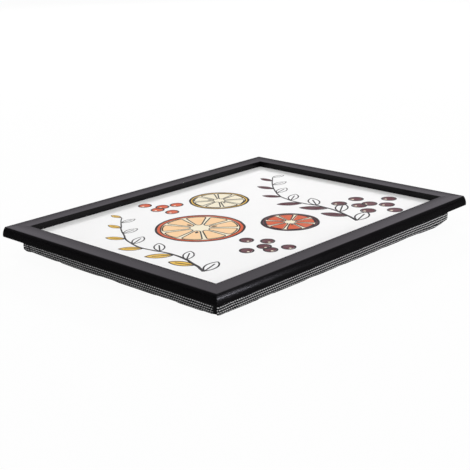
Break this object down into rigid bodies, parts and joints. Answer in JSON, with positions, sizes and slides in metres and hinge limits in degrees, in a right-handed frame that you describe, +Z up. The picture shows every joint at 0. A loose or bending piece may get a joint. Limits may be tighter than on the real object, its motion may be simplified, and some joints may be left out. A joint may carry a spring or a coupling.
{
  "type": "lap tray",
  "caption": "Rectangular lap tray: a mitred rim round a recessed printed surface, on a thin cloth-covered cushion that sits level on the knees.",
  "frame": {"origin": "middle of the flat face that the cushion rests on", "axes": "+X along the long rails to the user's right, +Y away from the user, +Z up"},
  "size_m": [0.435, 0.335, 0.0335],
  "materials": {
    "frame_black": "satin",
    "nail_steel": "satin",
    "laminate_white": "satin",
    "board_fibre": "matte",
    "backing_paper": "matte",
    "glue_clear": "satin",
    "staple_steel": "satin",
    "hardboard": "matte",
    "foam": "matte",
    "cover_cloth": "matte"
  },
  "bodies": {
    "root": {"front_rail": "frame_black", "right_rail": "frame_black", "back_rail": "frame_black", "left_rail": "frame_black", "corner_v_nails": "nail_steel", "print_laminate": "laminate_white", "tray_board": "board_fibre", "backing_sheet": "backing_paper", "glue_dabs": "glue_clear", "cover_staples": "staple_steel", "cushion_base_board": "hardboard", "foam_pad": "foam", "cushion_cover": "cover_cloth"}
  },
  "joints": []
}
